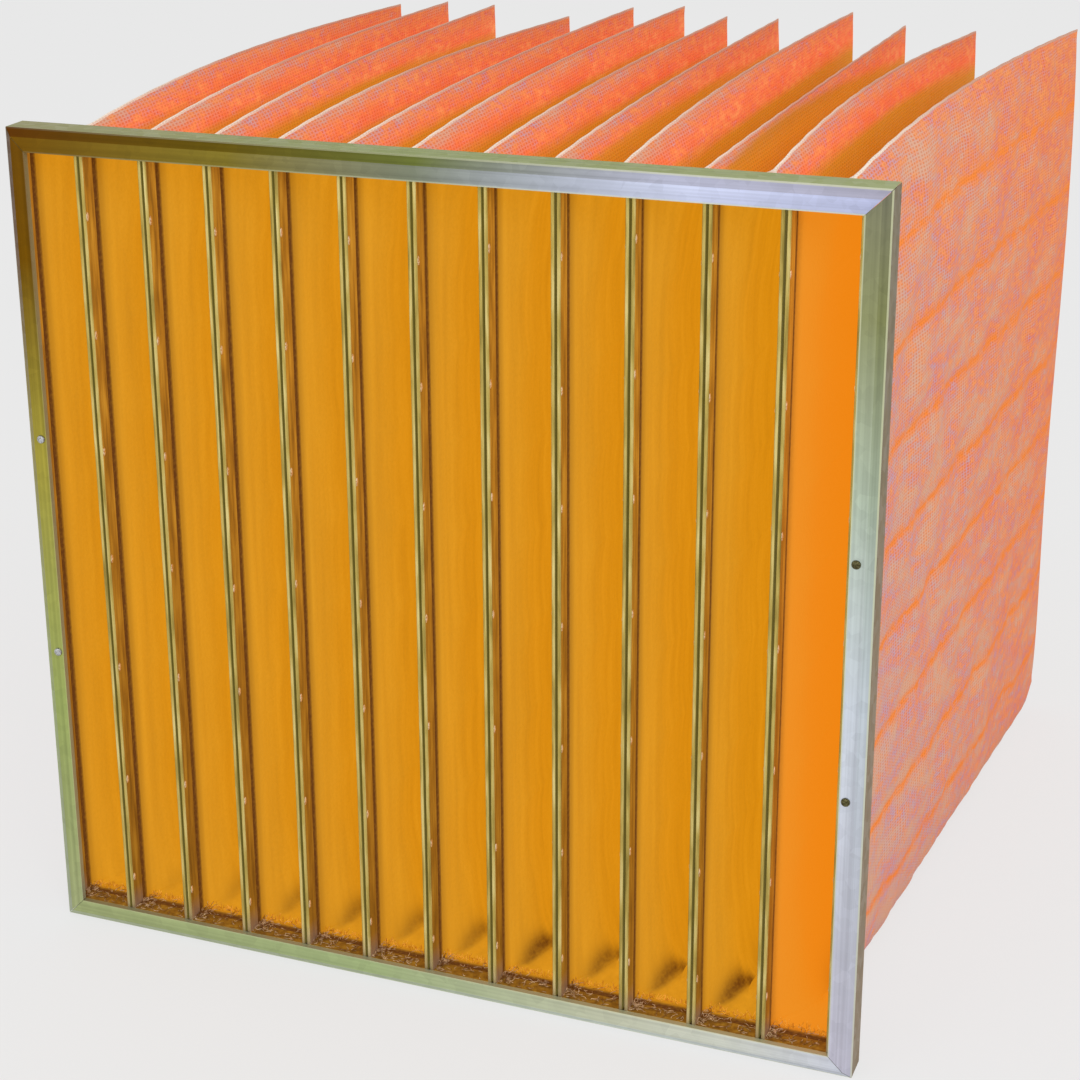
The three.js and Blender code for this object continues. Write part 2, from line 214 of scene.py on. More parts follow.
sheetLook = {
    "spangle": 7.0,  # mm across a zinc crystal
    "drawMarks": 0.9,  # mm between fine marks along the rail
    "bendDepth": -8.0,  # mm, where the bevel meets the web
    "bendLine": 0.7,  # mm, half the width of the painted highlight line on a bend
    "highlightLine": "#D9DBB4",
}


def railFinish(name, look, sheet):
    material, tree = emptyMaterial(name)
    place = addNode(tree, "ShaderNodeTexCoord")
    at = addNode(tree, "ShaderNodeSeparateXYZ", {"Vector": place.outputs["Object"]})
    facing = addNode(tree, "ShaderNodeSeparateXYZ", {"Vector": place.outputs["Normal"]})
    along = addNode(tree, "ShaderNodeMapRange", {
        "Value": at.outputs[look["along"]], "From Min": look["start"], "From Max": look["end"]})
    # painted reflection: each face of the rail gets its own tone, which changes along its length
    tones = [addNode(tree, "ShaderNodeValToRGB", {"Fac": along.outputs[0]}, stops=look[key])
             for key in ("flange", "bevel", "web")]
    bevelled = addNode(tree, "ShaderNodeMapRange", {
        "Value": facing.outputs["Y"], "From Min": -0.3, "From Max": -0.2})
    flat = addNode(tree, "ShaderNodeMapRange", {
        "Value": facing.outputs["Y"], "From Min": -0.95, "From Max": -0.85})
    front = addNode(tree, "ShaderNodeMix", {
        0: flat.outputs[0], 6: tones[0].outputs[0], 7: tones[1].outputs[0]}, data_type="RGBA")
    colour = addNode(tree, "ShaderNodeMix", {
        0: bevelled.outputs[0], 6: front.outputs[2], 7: tones[2].outputs[0]}, data_type="RGBA")
    # draw marks: noise squeezed to fine lines that run with the rail
    squeeze = [1 / (sheet["drawMarks"] * mm)] * 3
    squeeze["XYZ".index(look["along"])] = 1 / 0.12
    marks = addNode(tree, "ShaderNodeMapping", {"Vector": place.outputs["Object"], "Scale": squeeze})
    lines = addNode(tree, "ShaderNodeTexNoise", {"Vector": marks.outputs[0], "Scale": 0.35, "Detail": 3.0})
    spangle = addNode(tree, "ShaderNodeTexVoronoi", {
        "Vector": place.outputs["Object"], "Scale": 1 / (sheet["spangle"] * mm)})
    grey = addNode(tree, "ShaderNodeSeparateXYZ", {"Vector": spangle.outputs["Color"]})
    bright = addNode(tree, "ShaderNodeMapRange", {
        "Value": lines.outputs["Fac"], "From Min": 0.3, "From Max": 0.7, "To Min": 0.84, "To Max": 1.12})
    glint = addNode(tree, "ShaderNodeMapRange", {"Value": grey.outputs["X"], "To Min": 0.95, "To Max": 1.05})
    value = addNode(tree, "ShaderNodeMath", {0: bright.outputs[0], 1: glint.outputs[0]}, operation="MULTIPLY")
    worn = addNode(tree, "ShaderNodeHueSaturation", {"Color": colour.outputs[2], "Value": value.outputs[0]})
    # painted highlight: a pale line on the bend between bevel and web, and on the folded lip round the pockets
    bend = addNode(tree, "ShaderNodeMath", {
        0: at.outputs["Y"], 1: sheet["bendDepth"] * mm, 2: sheet["bendLine"] * mm}, operation="COMPARE")
    axis, outer, inner = look["inward"]
    reach = addNode(tree, "ShaderNodeMapRange", {
        "Value": at.outputs[axis], "From Min": outer, "From Max": inner})
    lip = addNode(tree, "ShaderNodeMapRange", {"Value": reach.outputs[0], "From Min": 0.93, "From Max": 0.97})
    edge = addNode(tree, "ShaderNodeMath", {0: bend.outputs[0], 1: lip.outputs[0]}, operation="MAXIMUM")
    clear = addNode(tree, "ShaderNodeMapRange", {
        "Value": along.outputs[0], "To Min": look["glint"][0], "To Max": look["glint"][1]})
    edge = addNode(tree, "ShaderNodeMath", {0: edge.outputs[0], 1: clear.outputs[0]}, operation="MULTIPLY")
    finish = addNode(tree, "ShaderNodeMix", {
        0: edge.outputs[0], 6: worn.outputs[0], 7: linear(sheet["highlightLine"])}, data_type="RGBA")
    rough = addNode(tree, "ShaderNodeMapRange", {"Value": grey.outputs["Y"], "To Min": 0.34, "To Max": 0.46})
    bump = addNode(tree, "ShaderNodeBump", {
        "Height": lines.outputs["Fac"], "Strength": 0.25, "Distance": 0.0002})
    # the outer web is dulled by handling, so it mirrors less than the front does
    clean = addNode(tree, "ShaderNodeMapRange", {
        "Value": bevelled.outputs[0], "To Min": 0.85, "To Max": 0.25})
    surface = addNode(tree, "ShaderNodeBsdfPrincipled", {
        "Base Color": finish.outputs[2], "Metallic": clean.outputs[0], "Roughness": rough.outputs[0],
        "Specular IOR Level": 0.2, "Normal": bump.outputs[0]})
    addNode(tree, "ShaderNodeOutputMaterial", {"Surface": surface.outputs[0]})
    return material


def dress(node, material):
    # a CAD node keeps its mesh and gets a better finish
    solid = bpy.data.objects[node]
    if not solid.material_slots:
        solid.data.materials.append(material)
    for slot in solid.material_slots:
        slot.material = material


for railName, look in railLook.items():
    dress(railName, railFinish("galvanised_sheet_" + railName, look, sheetLook))

# Light gauge galvanised strip, folded round each mouth: khaki where it faces forward, tan inside as a painted
# reflection of the amber media, and dull olive painted shade down in the slot between two frames.
mouthLook = {
    "fold": [(0, "#968236"), (1, "#E2D088"), (0.45, "#BEA854")],
    "inside": [(0, "#8C6424"), (1, "#D2A43C"), (0.5, "#B4842C")],
    "insideGlow": 0.16,  # painted glow: amber light from the media that the strip sends on
    "low": 0.62,  # painted shade: how bright the inside is at its foot, against its top
    "foot": "#A8938C",  # dull mauve where the strip's corner is folded
    # painted shade in the slot between two frames
    "slot": "#5E5420",
    "slotMiddle": -4.2,  # mm, one slot's place: the others lie whole pitches from it
    "slotReach": 0.9,  # mm either side of a slot's middle
}


def mouthFinish(look):
    material, tree = emptyMaterial("galvanised_strip")
    place = addNode(tree, "ShaderNodeTexCoord")
    at = addNode(tree, "ShaderNodeSeparateXYZ", {"Vector": place.outputs["Object"]})
    facing = addNode(tree, "ShaderNodeSeparateXYZ", {"Vector": place.outputs["Normal"]})
    # handling marks: noise drawn out along the strip's height
    long = addNode(tree, "ShaderNodeMapping", {"Vector": place.outputs["Object"], "Scale": (260, 260, 26)})
    marks = addNode(tree, "ShaderNodeTexNoise", {"Vector": long.outputs[0], "Scale": 1.0, "Detail": 4.0})
    spread = addNode(tree, "ShaderNodeMapRange", {
        "Value": marks.outputs["Fac"], "From Min": 0.3, "From Max": 0.7})
    fold = addNode(tree, "ShaderNodeValToRGB", {"Fac": spread.outputs[0]}, stops=look["fold"])
    inside = addNode(tree, "ShaderNodeValToRGB", {"Fac": spread.outputs[0]}, stops=look["inside"])
    # painted reflection: forward faces keep the khaki tone, the inside faces the tan of the amber media mirrored in
    # them
    front = addNode(tree, "ShaderNodeMapRange", {
        "Value": facing.outputs["Y"], "From Min": -0.35, "From Max": -0.75})
    # painted shade: the inside darkens towards its foot, and the sill there is the darkest
    height = addNode(tree, "ShaderNodeMapRange", {
        "Value": at.outputs["Z"], "From Min": 0.0, "From Max": 0.45, "To Min": look["low"], "To Max": 1.0})
    aside = addNode(tree, "ShaderNodeMapRange", {
        "Value": facing.outputs["Z"], "From Min": 0.3, "From Max": 0.8, "To Min": 1.0, "To Max": 0.85})
    dim = addNode(tree, "ShaderNodeMath", {0: height.outputs[0], 1: aside.outputs[0]}, operation="MULTIPLY")
    inside = addNode(tree, "ShaderNodeHueSaturation", {"Color": inside.outputs[0], "Value": dim.outputs[0]})
    colour = addNode(tree, "ShaderNodeMix", {0: front.outputs[0], 6: inside.outputs[0], 7: fold.outputs[0]},
                     data_type="RGBA")
    low = addNode(tree, "ShaderNodeMapRange", {
        "Value": at.outputs["Z"], "From Min": 0.032, "From Max": 0.016, "To Max": 0.5})
    upright = addNode(tree, "ShaderNodeMath", {0: facing.outputs["Z"], 1: 0.5}, operation="LESS_THAN")
    low = addNode(tree, "ShaderNodeMath", {0: low.outputs[0], 1: upright.outputs[0]}, operation="MULTIPLY")
    finish = addNode(tree, "ShaderNodeMix", {
        0: low.outputs[0], 6: colour.outputs[2], 7: linear(look["foot"])}, data_type="RGBA")
    # distance to the nearest slot: the place across the filter folded back and forth at half the pitch
    across = addNode(tree, "ShaderNodeMath", {
        0: at.outputs["X"], 1: look["slotMiddle"] * mm}, operation="SUBTRACT")
    beside = addNode(tree, "ShaderNodeMath", {0: across.outputs[0], 1: pocketPitch / 2 * mm},
                     operation="PINGPONG")
    slot = addNode(tree, "ShaderNodeMath", {
        0: beside.outputs[0], 1: look["slotReach"] * mm}, operation="LESS_THAN")
    # painted shade: the slot between two frames is coloured dull olive
    sunk = addNode(tree, "ShaderNodeMix", {0: slot.outputs[0], 6: finish.outputs[2], 7: linear(look["slot"])},
                   data_type="RGBA")
    # painted glow: the inside faces give off a little of their colour, and the slot more
    glow = addNode(tree, "ShaderNodeMapRange", {
        "Value": front.outputs[0], "To Min": look["insideGlow"], "To Max": 0})
    glow = addNode(tree, "ShaderNodeMath", {0: slot.outputs[0], 1: 0.5, 2: glow.outputs[0]},
                   operation="MULTIPLY_ADD")
    bare = addNode(tree, "ShaderNodeMapRange", {"Value": front.outputs[0], "To Min": 0.15, "To Max": 0.5})
    bump = addNode(tree, "ShaderNodeBump", {
        "Height": marks.outputs["Fac"], "Strength": 0.3, "Distance": 0.0003})
    surface = addNode(tree, "ShaderNodeBsdfPrincipled", {
        "Base Color": sunk.outputs[2], "Metallic": bare.outputs[0], "Roughness": 0.42,
        "Emission Color": sunk.outputs[2], "Emission Strength": glow.outputs[0], "Normal": bump.outputs[0]})
    addNode(tree, "ShaderNodeOutputMaterial", {"Surface": surface.outputs[0]})
    return material


def rivetFinish(name, tone, shade):
    # plated steel rivet, dulled in patches by handling
    material, tree = emptyMaterial(name)
    place = addNode(tree, "ShaderNodeTexCoord")
    patches = addNode(tree, "ShaderNodeTexNoise", {
        "Vector": place.outputs["Object"], "Scale": 900.0, "Detail": 2.0})
    colour = addNode(tree, "ShaderNodeValToRGB", {
        "Fac": patches.outputs["Fac"]}, stops=[(0.35, shade), (0.65, tone)])
    surface = addNode(tree, "ShaderNodeBsdfPrincipled", {
        "Base Color": colour.outputs[0], "Metallic": 0.9, "Roughness": 0.32})
    addNode(tree, "ShaderNodeOutputMaterial", {"Surface": surface.outputs[0]})
    return material


stripSteel = mouthFinish(mouthLook)
for number in pocketNumbers:
    dress("pocket_frame_" + number, stripSteel)
# the right-hand rivets are given a darker tone than the left
palePlate = rivetFinish("plated_rivet", "#C9CBD2", "#8F8E86")
darkPlate = rivetFinish("dark_rivet", "#6E6A48", "#3A3318")
for level in ("lower", "upper"):
    dress("rivet_left_" + level, palePlate)
    dress("rivet_right_" + level, darkPlate)
print("bag air filter: sheet metal is finished")


# Scrim: a fine open weave of glass yarn laminated to glass fibre. The eye sees a dull lavender
# net over orange fibre, mottled where the binder soaked in, and orange along the stitched rows.
scrimLook = {
    "warp": 4.4, "weft": 2.3,  # mm between yarns, drawn coarser than the real 1.5 mm so that it shows
    "mottle": 24.0, "speckle": 5.0,  # mm across a patch, and across a speck
    "drawn": 0.42,  # patches and specks run with the depth, and are this much narrower than long
    "yarn": [(0.38, "#E0AC90"), (0.62, "#C8A4B6"), (0.5, "#D6A89E")],
    "fibre": [(0.34, "#F26C3C"), (0.68, "#FC9C56")],
    "betweenGlow": 0.24,  # painted glow for the light that comes through the media where two pockets face each other
    "row": "#FF8B2E",
    "between": "#EE6236",  # painted shade on sides that face a neighbour
    # painted shade, ochre, deep in the gap between two pockets
    "valleyShade": "#D08E12",
    "seamFront": "#FAEAD8",
    "seamRear": "#D8A48C",
}

# Media inside: amber glass fibre with a painted glow for the light that shines through it, streaked from top to
# bottom.
insideLook = {
    "streaks": [(0.25, "#BA760A"), (0.75, "#D28A14"), (0.5, "#C7800D")],
    "bright": "#DB7B12",  # the last pocket: its painted glow is a brighter orange
    "fibre": "#7C7327",  # what the fibre itself sends back of the light that falls on it
    "shade": "#5A3408",
    "glow": 0.95,  # painted glow for the light that comes through the media
}


def scrimFinish(look):
    material, tree = emptyMaterial("scrim_faced_glass_fibre")
    cloth = addNode(tree, "ShaderNodeUVMap", uv_map="cloth")
    place = addNode(tree, "ShaderNodeTexCoord")
    marks = {name: addNode(tree, "ShaderNodeAttribute", attribute_name=name).outputs["Fac"]
             for name in ("row", "seam", "reach", "between", "valleyShade")}
    # weave: the higher of two sets of yarns, each a sine whose period is the yarn spacing
    warp, weft = (addNode(tree, "ShaderNodeTexWave", {
        "Vector": cloth.outputs[0], "Scale": 2 * math.pi / (20 * look[yarns] * mm), "Distortion": 0.9,
        "Detail": 1.0, "Detail Scale": 0.4}, wave_type="BANDS", bands_direction=way)
        for way, yarns in (("X", "warp"), ("Y", "weft")))
    net = addNode(tree, "ShaderNodeMath", {
        0: warp.outputs["Fac"], 1: weft.outputs["Fac"]}, operation="MAXIMUM")
    drawn = addNode(tree, "ShaderNodeMapping", {
        "Vector": place.outputs["Object"], "Scale": (1, look["drawn"], 1)})
    patch, speck = (addNode(tree, "ShaderNodeTexNoise", {
        "Vector": drawn.outputs[0], "Scale": 1 / (look[size] * mm), "Detail": 3.0, "Roughness": 0.65})
        for size in ("mottle", "speckle"))
    yarn = addNode(tree, "ShaderNodeValToRGB", {"Fac": patch.outputs["Fac"]}, stops=look["yarn"])
    fibre = addNode(tree, "ShaderNodeValToRGB", {"Fac": speck.outputs["Fac"]}, stops=look["fibre"])
    # bare fibre: more towards the rear fold, higher up and between pockets, in patches and specks
    height = addNode(tree, "ShaderNodeSeparateXYZ", {"Vector": place.outputs["Object"]})
    loose = 0.0
    for part, weight in ((speck.outputs["Fac"], 1.9), (patch.outputs["Fac"], 1.2), (marks["reach"], 0.42),
                         (height.outputs["Z"], 0.4), (marks["between"], 0.3), (net.outputs[0], -0.55)):
        loose = addNode(tree, "ShaderNodeMath", {
            0: part, 1: weight, 2: loose}, operation="MULTIPLY_ADD").outputs[0]
    bare = addNode(tree, "ShaderNodeMapRange", {
        "Value": loose, "From Min": 1.14, "From Max": 1.76, "To Min": 0.0, "To Max": 0.95})
    colour = addNode(tree, "ShaderNodeMix", {0: bare.outputs[0], 6: yarn.outputs[0], 7: fibre.outputs[0]},
                     data_type="RGBA")
    broken = addNode(tree, "ShaderNodeMapRange", {
        "Value": speck.outputs["Fac"], "From Min": 0.38, "From Max": 0.52, "To Min": 0.5, "To Max": 1.0})
    rowShare = addNode(tree, "ShaderNodeMath", {0: marks["row"], 1: broken.outputs[0]}, operation="MULTIPLY")
    # painted shade: sides that face a neighbour take a red-orange tone in patches, and the deep gaps an ochre one
    facing = addNode(tree, "ShaderNodeMapRange", {
        "Value": patch.outputs["Fac"], "From Min": 0.4, "From Max": 0.6, "To Min": 0.6, "To Max": 0.0})
    facing = addNode(tree, "ShaderNodeMath", {
        0: facing.outputs[0], 1: marks["between"]}, operation="MULTIPLY")
    for share, tone in ((facing.outputs[0], look["between"]), (rowShare.outputs[0], look["row"]),
                        (marks["valleyShade"], look["valleyShade"])):
        colour = addNode(tree, "ShaderNodeMix", {
            0: share, 6: colour.outputs[2], 7: linear(tone)}, data_type="RGBA")
    away = addNode(tree, "ShaderNodeMapRange", {"Value": marks["reach"], "From Min": 0.1, "From Max": 0.45})
    seam = addNode(tree, "ShaderNodeMix", {
        0: away.outputs[0], 6: linear(look["seamFront"]), 7: linear(look["seamRear"])}, data_type="RGBA")
    colour = addNode(tree, "ShaderNodeMix", {0: marks["seam"], 6: colour.outputs[2], 7: seam.outputs[2]},
                     data_type="RGBA")
    # painted shade: the dips between yarns lie a little darker
    dip = addNode(tree, "ShaderNodeMapRange", {
        "Value": net.outputs[0], "From Min": 0.15, "From Max": 0.9, "To Min": 0.86, "To Max": 1.04})
    woven = addNode(tree, "ShaderNodeHueSaturation", {"Color": colour.outputs[2], "Value": dip.outputs[0]})
    # painted glow on the sides that face a neighbour
    glow = addNode(tree, "ShaderNodeMath", {
        0: marks["between"], 1: look["betweenGlow"]}, operation="MULTIPLY")
    relief = addNode(tree, "ShaderNodeMath", {0: net.outputs[0], 1: speck.outputs["Fac"]}, operation="ADD")
    bump = addNode(tree, "ShaderNodeBump", {"Height": relief.outputs[0], "Strength": 0.4, "Distance": 0.0004})
    surface = addNode(tree, "ShaderNodeBsdfPrincipled", {
        "Base Color": woven.outputs[0], "Roughness": 0.85, "Specular IOR Level": 0.25,
        "Emission Color": woven.outputs[0], "Emission Strength": glow.outputs[0], "Normal": bump.outputs[0]})
    addNode(tree, "ShaderNodeOutputMaterial", {"Surface": surface.outputs[0]})
    return material


def insideFinish(look):
    material, tree = emptyMaterial("amber_glass_fibre")
    place = addNode(tree, "ShaderNodeTexCoord")
    marks = {name: addNode(tree, "ShaderNodeAttribute", attribute_name=name).outputs["Fac"]
             for name in ("shade", "bright")}
    drawn = addNode(tree, "ShaderNodeMapping", {"Vector": place.outputs["Object"], "Scale": (120, 120, 7)})
    streak = addNode(tree, "ShaderNodeTexNoise", {"Vector": drawn.outputs[0], "Scale": 1.0, "Detail": 4.0})
    fuzz = addNode(tree, "ShaderNodeTexNoise", {
        "Vector": place.outputs["Object"], "Scale": 420.0, "Detail": 3.0})
    both = addNode(tree, "ShaderNodeMix", {0: 0.3, 2: streak.outputs["Fac"], 3: fuzz.outputs["Fac"]},
                   data_type="FLOAT")
    amber = addNode(tree, "ShaderNodeValToRGB", {"Fac": both.outputs[0]}, stops=look["streaks"])
    through = addNode(tree, "ShaderNodeMix", {
        0: marks["bright"], 6: amber.outputs[0], 7: linear(look["bright"])}, data_type="RGBA")
    ragged = addNode(tree, "ShaderNodeMapRange", {
        "Value": fuzz.outputs["Fac"], "From Min": 0.3, "From Max": 0.7, "To Min": 0.8, "To Max": 1.15})
    dark = addNode(tree, "ShaderNodeMath", {0: marks["shade"], 1: ragged.outputs[0]}, operation="MULTIPLY",
                   use_clamp=True)
    fibre, light = (addNode(tree, "ShaderNodeMix", {0: dark.outputs[0], 6: clean, 7: linear(look["shade"])},
                            data_type="RGBA") for clean in (linear(look["fibre"]), through.outputs[2]))
    # what is in painted shade gives off less painted glow, too
    glow = addNode(tree, "ShaderNodeMapRange", {
        "Value": dark.outputs[0], "To Min": look["glow"], "To Max": 0.4})
    bump = addNode(tree, "ShaderNodeBump", {
        "Height": fuzz.outputs["Fac"], "Strength": 0.5, "Distance": 0.0005})
    surface = addNode(tree, "ShaderNodeBsdfPrincipled", {
        "Base Color": fibre.outputs[2], "Roughness": 0.9, "Emission Color": light.outputs[2],
        "Emission Strength": glow.outputs[0], "Normal": bump.outputs[0]})
    addNode(tree, "ShaderNodeOutputMaterial", {"Surface": surface.outputs[0]})
    return material


scrim = scrimFinish(scrimLook)
amberMedia = insideFinish(insideLook)
print("bag air filter: media materials are mixed")


# In mm, with depths counted from the header's front face. They repeat the CAD's, except for the
# crowns, the rows' height, the seam fins and the end of the cavity
pocketShape = {
    "frontFace": 12.5,  # the header's front face lies this far before the origin
    "skirtFront": 5.2, "legRear": 16.3, "bagFront": 24.7, "shoulder": 40.0, "bagDepth": 625.0,
    "pitch": pocketPitch, "mouthHalfWidth": 22.3, "mouthTop": 578.6, "mouthBottom": 13.4, "cornerRadius": 2.1,
    "frontHalfWidth": 18.4, "rearHalfWidth": 2.2, "fullness": 1.25,
    "topCrown": [14, 11.5, 10, 13, 8, 10.5, 8, 6, 10.5, 2, 18, 15], "topCrownFront": 0.75,
    "bottomCrown": 8.0, "bottomCrownFront": 0.55, "bottomAtRear": 6.0, "cornerCut": 12.0,
    "skirt": 0.8, "media": 3.0, "seamAllowance": 9.0, "cavityEnd": 560.0,
    "finHeight": 1.4, "finHalf": 0.75, "foldRound": 2.2, "sewnPoints": 6,  # points of an outline on a fin
    "rows": 8, "lowestRow": 66.0, "rowPitch": 65.43, "rowPuff": 2.2, "rowDroop": 4.0,
    "mouthRoll": 0.9,  # the media swells where it comes out of its frame
    "pucker": 0.4,  # height of the gathers along the sewn edges
    "crease": 0.7, "looseCrease": 2.2,  # height of creases beside a neighbour, and on an outer side
    "cornerFoldShade": [0, 0.1, 0.2, 0.4, 0.5, 0.45, 0.5, 0.9, 0.65, 0.8, 0.95, 0],  # how dark each pocket's painted fold shade is
}


def smoothStep(x, start, end):
    u = np.clip((x - start) / (end - start), 0, 1)
    return u * u * (3 - 2 * u)


def mix(a, b, share):
    return a + (b - a) * share


def sineField(y, z, seed, count, shortest, longest):
    # a sum of plane waves in depth and height with random lengths, headings and phases
    rng = np.random.default_rng(seed)
    field = 0
    for length, heading, phase in zip(rng.uniform(shortest, longest, count), rng.uniform(0, math.pi, count),
                                      rng.uniform(0, 2 * math.pi, count)):
        field = field + np.sin(2 * math.pi * (y * math.cos(heading) + z * math.sin(heading)) / length + phase)
    return field / math.sqrt(count)


def rowShares(shape):
    # heights of the stitched rows as shares of half the bag's height, from its middle
    middle = (shape["mouthTop"] + shape["mouthBottom"]) / 2
    half = (shape["mouthTop"] - shape["mouthBottom"]) / 2
    return (shape["lowestRow"] + shape["rowPitch"] * np.arange(shape["rows"]) - middle) / half


def heightGrid(shape):
    # shares of the height from bottom to top: about 7 mm apart, closer beside rows and ends
    rows = rowShares(shape)
    beside = np.array([-0.02, -0.008, 0, 0.008, 0.02])
    near = (rows[:, None] + beside[None, :]).ravel()
    gaps = [np.linspace(a + 0.02, b - 0.02, 9)[1:-1] for a, b in zip(rows[:-1], rows[1:])]
    top = np.array([0.9, 0.92, 0.94, 0.955, 0.968, 0.979, 0.988, 0.995, 0.999])
    low = -np.array([0.85, 0.88, 0.9, 0.92, 0.94, 0.955, 0.968, 0.979, 0.988, 0.995, 0.999])
    return np.unique(np.round(np.concatenate([near, *gaps, top, low]), 6))


def bagSection(y, tip, shape, inner, topCrown):
    # Half outlines at depths y, from the bottom edge to the top edge, as half thickness and height.
    # In the mouth they are a rectangle with round corners, and behind it a lens that thins as a
    # power of the height share, puffed by a rounded sine between the rows.
    s = heightGrid(shape)[None, :]
    y = y[:, None]
    t = np.clip((y - shape["bagFront"]) / (shape["bagDepth"] - shape["bagFront"]), 0, 1)
    blend = smoothStep(y, shape["bagFront"], shape["bagFront"] + shape["shoulder"])
    top = mix(shape["mouthTop"], tip, t) + topCrown * np.sin(math.pi * t ** shape["topCrownFront"])
    low = mix(shape["mouthBottom"], shape["bottomAtRear"], t)
    low = low - shape["bottomCrown"] * np.sin(math.pi * t ** shape["bottomCrownFront"])
    low = low + shape["cornerCut"] * smoothStep(y, shape["bagDepth"] - 19, shape["bagDepth"])
    wall = mix(shape["skirt"], shape["media"], blend) if inner else 0 * y
    margin = mix(shape["skirt"], shape["seamAllowance"], blend) if inner else 0 * y
    middle, half = (top + low) / 2, (top - low) / 2 - margin
    wedge = mix(shape["frontHalfWidth"], shape["rearHalfWidth"], 1 - (1 - t ** shape["fullness"]) ** 0.9)
    wide = mix(shape["mouthHalfWidth"], wedge, np.minimum(1, 4 * blend)) - wall
    thin = 0.4 if inner else shape["finHalf"]
    fin = 0.5 if inner else shape["finHeight"]
    wide = np.maximum(wide, thin)
    rows = rowShares(shape)
    lane = np.clip((s - rows[0]) / (rows[1] - rows[0]), 0, len(rows) - 1)
    puff = np.abs(np.sin(math.pi * lane)) ** 0.75 * shape["rowPuff"] * (1 - t ** 3)
    lensX = np.maximum(wide * (1 - np.abs(s) ** 8) ** 0.6, thin) + puff * blend
    droop = shape["rowDroop"] * t * (1 - s ** 6)
    lensZ = s * (half - fin) - droop
    radius = shape["cornerRadius"] - (shape["skirt"] if inner else 0)
    mouthX = shape["mouthHalfWidth"] - (shape["skirt"] if inner else 0)
    sideX = mix(mouthX + 0 * s, lensX, blend)
    sideX = np.where(blend > 0, sideX, mouthX)
    sideZ = mix(s * (half - radius), lensZ, blend)
    if inner:
        sideX = sideX - shape["mouthRoll"] * np.exp(-((y - shape["bagFront"] - 9) / 5) ** 2)
    # the sewn edge: a corner arc and a flat in the mouth, and a thin rounded fin behind it
    arc = np.radians([0, 30, 60, 90, 90, 90])[None, :]
    inset = np.array([0, 0, 0, 0, 0.34, 0.67])[None, :]
    edgeMouthX = (mouthX - radius * (1 - np.cos(arc))) * (1 - inset)
    edgeMouthZ = half - radius * (1 - np.sin(arc))
    finX = np.array([1.0, 1.0, 0.8, 0.42, 0.28, 0.14])[None, :] * thin
    finZ = half - np.array([0.98, 0.35, 0.1, 0.015, 0, 0])[None, :] * fin
    edgeX = mix(edgeMouthX, finX + 0 * y, blend)
    edgeZ = mix(edgeMouthZ, finZ, blend) + 8 * blend * (1 - blend) * (0.4 + inset)
    x = np.concatenate([edgeX[:, ::-1], sideX, edgeX], axis=1)
    z = middle + np.concatenate([-edgeZ[:, ::-1], sideZ, edgeZ], axis=1)
    return x, z, t + 0 * x, blend + 0 * x


def depthsOutside(shape):
    rear = shape["bagDepth"]
    return np.concatenate([
        [shape["skirtFront"], 12, 19, 24.6], np.arange(26.5, 70, 4.5), np.arange(74, rear - 14, 8.2),
        rear - np.array([12, 9, 6, 3.5, 2, 1.1, 0.5, 0.12, 0])])


def depthsInside(shape):
    return np.array([
        shape["skirtFront"], 12, 14.5, 15.5, 16.3, 17.2, 18.2, 19.5, 21, 23, 24.6, 26, 28, 31, 34.5, 38, 42,
        47, 53, 60, 68, 78, 90, 105, 122, 142, 166, 196, 232, 275, 325, 380, 440, 500, 545, shape["cavityEnd"]])


def pocketFaces(rings, count):
    # quads between neighbouring rings, and rungs that close the last ring
    i = np.arange(count)
    j = (i + 1) % count
    start = np.arange(rings - 1)[:, None] * count
    bands = np.stack([start + i, start + j, start + j + count, start + i + count], axis=-1).reshape(-1, 4)
    k = np.arange(count // 2 - 1)
    last = (rings - 1) * count
    rungs = np.stack([last + k, last + k + 1, last + count - 2 - k, last + count - 1 - k], axis=-1)
    return np.concatenate([bands, rungs])


def makePiece(name, points, faces, materials, faceMaterial=None, marks=None, cloth=None, smooth=True):
    # points in metres and faces of equal length go into a mesh, with its marks and cloth map
    mesh = bpy.data.meshes.new(name)
    mesh.from_pydata(points.tolist(), [], faces.tolist())
    for material in materials:
        mesh.materials.append(material)
    if faceMaterial is not None:
        mesh.polygons.foreach_set("material_index", faceMaterial.astype(np.int32))
    mesh.polygons.foreach_set("use_smooth", np.full(len(faces), smooth))
    for mark, values in (marks or {}).items():
        mesh.attributes.new(mark, "FLOAT", "POINT").data.foreach_set("value", values.astype(np.float32))
    if cloth is not None:
        layer = mesh.uv_layers.new(name="cloth")
        layer.data.foreach_set("uv", cloth[faces.ravel()].astype(np.float32).ravel())
    mesh.update()
    piece = bpy.data.objects.new(name, mesh)
    bpy.context.collection.objects.link(piece)
    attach(piece, "root")
    return piece


def readPocket(number):
    # the middle of the mouth from its frame, and the rear fold's lean and tip from the CAD bag
    low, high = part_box("pocket_frame_" + number)
    centre = (low[0] + high[0]) / 2 / mm
    mesh = bpy.data.objects["filter_bag_" + number].data
    corners = np.empty(len(mesh.vertices) * 3)
    mesh.vertices.foreach_get("co", corners)
    corners = corners.reshape(-1, 3) / mm
    rear = corners[corners[:, 1] > corners[:, 1].max() - 0.1]
    return centre, rear[:, 0].mean() - centre, rear[:, 2].max()


